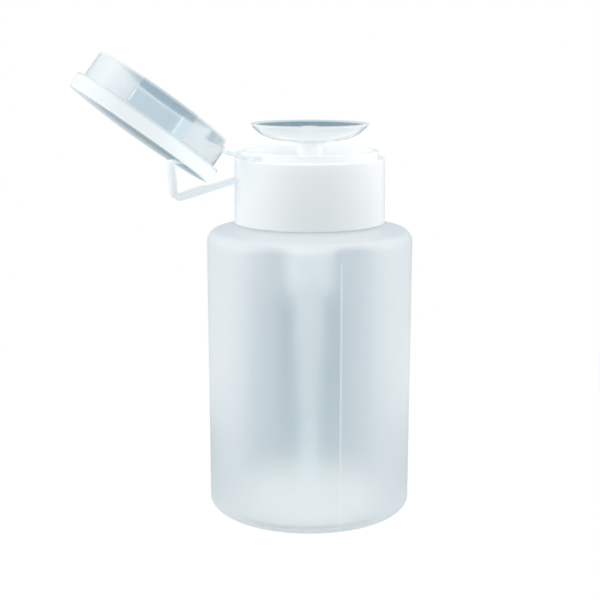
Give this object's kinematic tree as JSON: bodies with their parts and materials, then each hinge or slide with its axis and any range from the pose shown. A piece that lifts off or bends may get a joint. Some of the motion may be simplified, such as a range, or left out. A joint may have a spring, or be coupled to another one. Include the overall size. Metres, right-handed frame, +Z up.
{
  "type": "press-down dispenser bottle with flip-top lid",
  "caption": "Frosted cylindrical dispenser bottle with a screw collar, a press-down pump dish, and a hinged flip-top lid held open by a snap strap.",
  "frame": {"origin": "centre of the bottle's base, on the plane it stands on", "axes": "+Z up along the bottle's axis; the lid's hinge is on the -X side and its axis runs along Y"},
  "size_m": [0.0909, 0.056, 0.1248],
  "materials": {
    "frosted_body": "frosted, translucent",
    "white_collar": "smooth satin gloss",
    "natural_lid": "glossy, translucent",
    "clear_dish": "polished, nearly clear",
    "strap_plastic": "satin, slightly translucent",
    "stem_white": "smooth",
    "pump_white": "moulded satin",
    "seal": "matte",
    "spring_steel": "drawn wire",
    "valve_glass": "polished",
    "tube": "extruded, translucent"
  },
  "bodies": {
    "bottle": {"bottle": "frosted_body"},
    "pump_engine": {"pump_housing": "pump_white", "stem_guide": "white_collar", "neck_gasket": "seal", "ball_retainer": "pump_white", "dip_tube": "tube", "return_spring": "spring_steel"},
    "collar": {"screw_collar": "white_collar", "hinge_tab_left": "strap_plastic", "hinge_tab_right": "strap_plastic"},
    "lid": {"flip_lid": "natural_lid", "lid_tab_left": "strap_plastic", "lid_tab_right": "strap_plastic"},
    "snap_arm": {"snap_strap_long": "strap_plastic"},
    "snap_leg": {"snap_strap_short": "strap_plastic"},
    "plunger": {"dish": "clear_dish", "outlet_post": "stem_white", "stem": "stem_white", "piston": "seal", "spring_cup": "stem_white"},
    "inlet_valve": {"inlet_ball": "valve_glass"},
    "outlet_valve": {"outlet_ball": "valve_glass"}
  },
  "joints": [
    {"name": "closure_lift", "type": "slide", "parent": "bottle", "child": "pump_engine", "axis": [0, 0, 1], "range_m": [0, 0.00545]},
    {"name": "collar_turn", "type": "hinge", "parent": "pump_engine", "child": "collar", "pos_m": [0, 0, 0.0796], "axis": [0, 0, 1], "range_deg": [0, 540]},
    {"name": "lid_hinge", "type": "hinge", "parent": "collar", "child": "lid", "pos_m": [-0.02209, 0, 0.09868], "axis": [0, 1, 0], "range_deg": [0, 143.44]},
    {"name": "snap_arm_bend", "type": "hinge", "parent": "collar", "child": "snap_arm", "pos_m": [-0.0207, 0, 0.0918], "axis": [0, 1, 0], "range_deg": [0, 107.1]},
    {"name": "snap_leg_bend", "type": "hinge", "parent": "lid", "child": "snap_leg", "pos_m": [-0.03772, 0, 0.09697], "axis": [0, 1, 0], "range_deg": [-53.2, 0]},
    {"name": "plunger_press", "type": "slide", "parent": "pump_engine", "child": "plunger", "axis": [0, 0, -1], "range_m": [0, 0.005], "stiffness_N_per_m": 150, "springref_m": -0.002, "deforming": ["return_spring"]},
    {"name": "inlet_valve_lift", "type": "slide", "parent": "pump_engine", "child": "inlet_valve", "axis": [0, 0, 1], "range_m": [0, 0.0012]},
    {"name": "outlet_valve_lift", "type": "slide", "parent": "plunger", "child": "outlet_valve", "axis": [0, 0, 1], "range_m": [0, 0.0003]}
  ],
  "couplings": [
    {"joint": "closure_lift", "follows": "collar_turn", "m_per_rad": 0.00057296},
    {"joint": "snap_arm_bend", "follows": "lid_hinge", "ratio": 0.74618},
    {"joint": "snap_leg_bend", "follows": "lid_hinge", "ratio": -0.37011}
  ]
}
